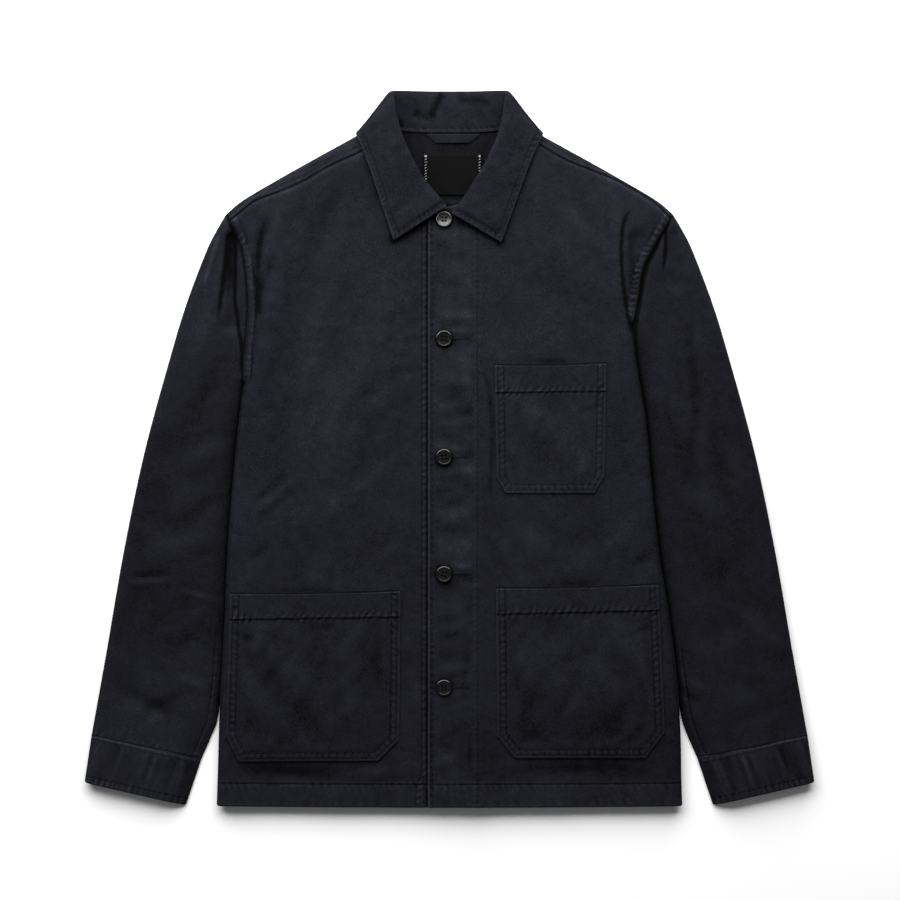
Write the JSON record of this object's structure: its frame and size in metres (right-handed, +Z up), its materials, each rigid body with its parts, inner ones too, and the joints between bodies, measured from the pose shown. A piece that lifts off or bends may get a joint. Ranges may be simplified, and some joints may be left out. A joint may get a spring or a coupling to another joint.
{
  "type": "chore jacket",
  "caption": "Dark navy cotton twill chore jacket with a turned-down collar, patch pockets and cuffed sleeves, buttoned and laid flat on its back.",
  "frame": {"origin": "on the surface the jacket lies on, under the middle of its outline box", "axes": "+Z up from the surface through the front, +Y from the hem to the collar, +X to the wearer's left"},
  "size_m": [0.8026, 0.7875, 0.0266],
  "materials": {
    "navy_twill": "matte, garment washed",
    "navy_inside": "matte",
    "label_black": "smooth woven",
    "dark_horn": "gloss"
  },
  "bodies": {
    "root": {"back": "navy_twill", "front_right": "navy_twill", "front_left": "navy_twill", "sleeve_left": "navy_twill", "sleeve_right": "navy_twill", "cuff_left": "navy_twill", "cuff_right": "navy_twill", "chest_pocket": "navy_twill", "hip_pocket_left": "navy_twill", "hip_pocket_right": "navy_twill", "collar": "navy_twill", "hanger_loop": "navy_inside", "neck_label": "label_black", "button_1": "dark_horn", "button_2": "dark_horn", "button_3": "dark_horn", "button_4": "dark_horn", "button_5": "dark_horn"}
  },
  "joints": []
}
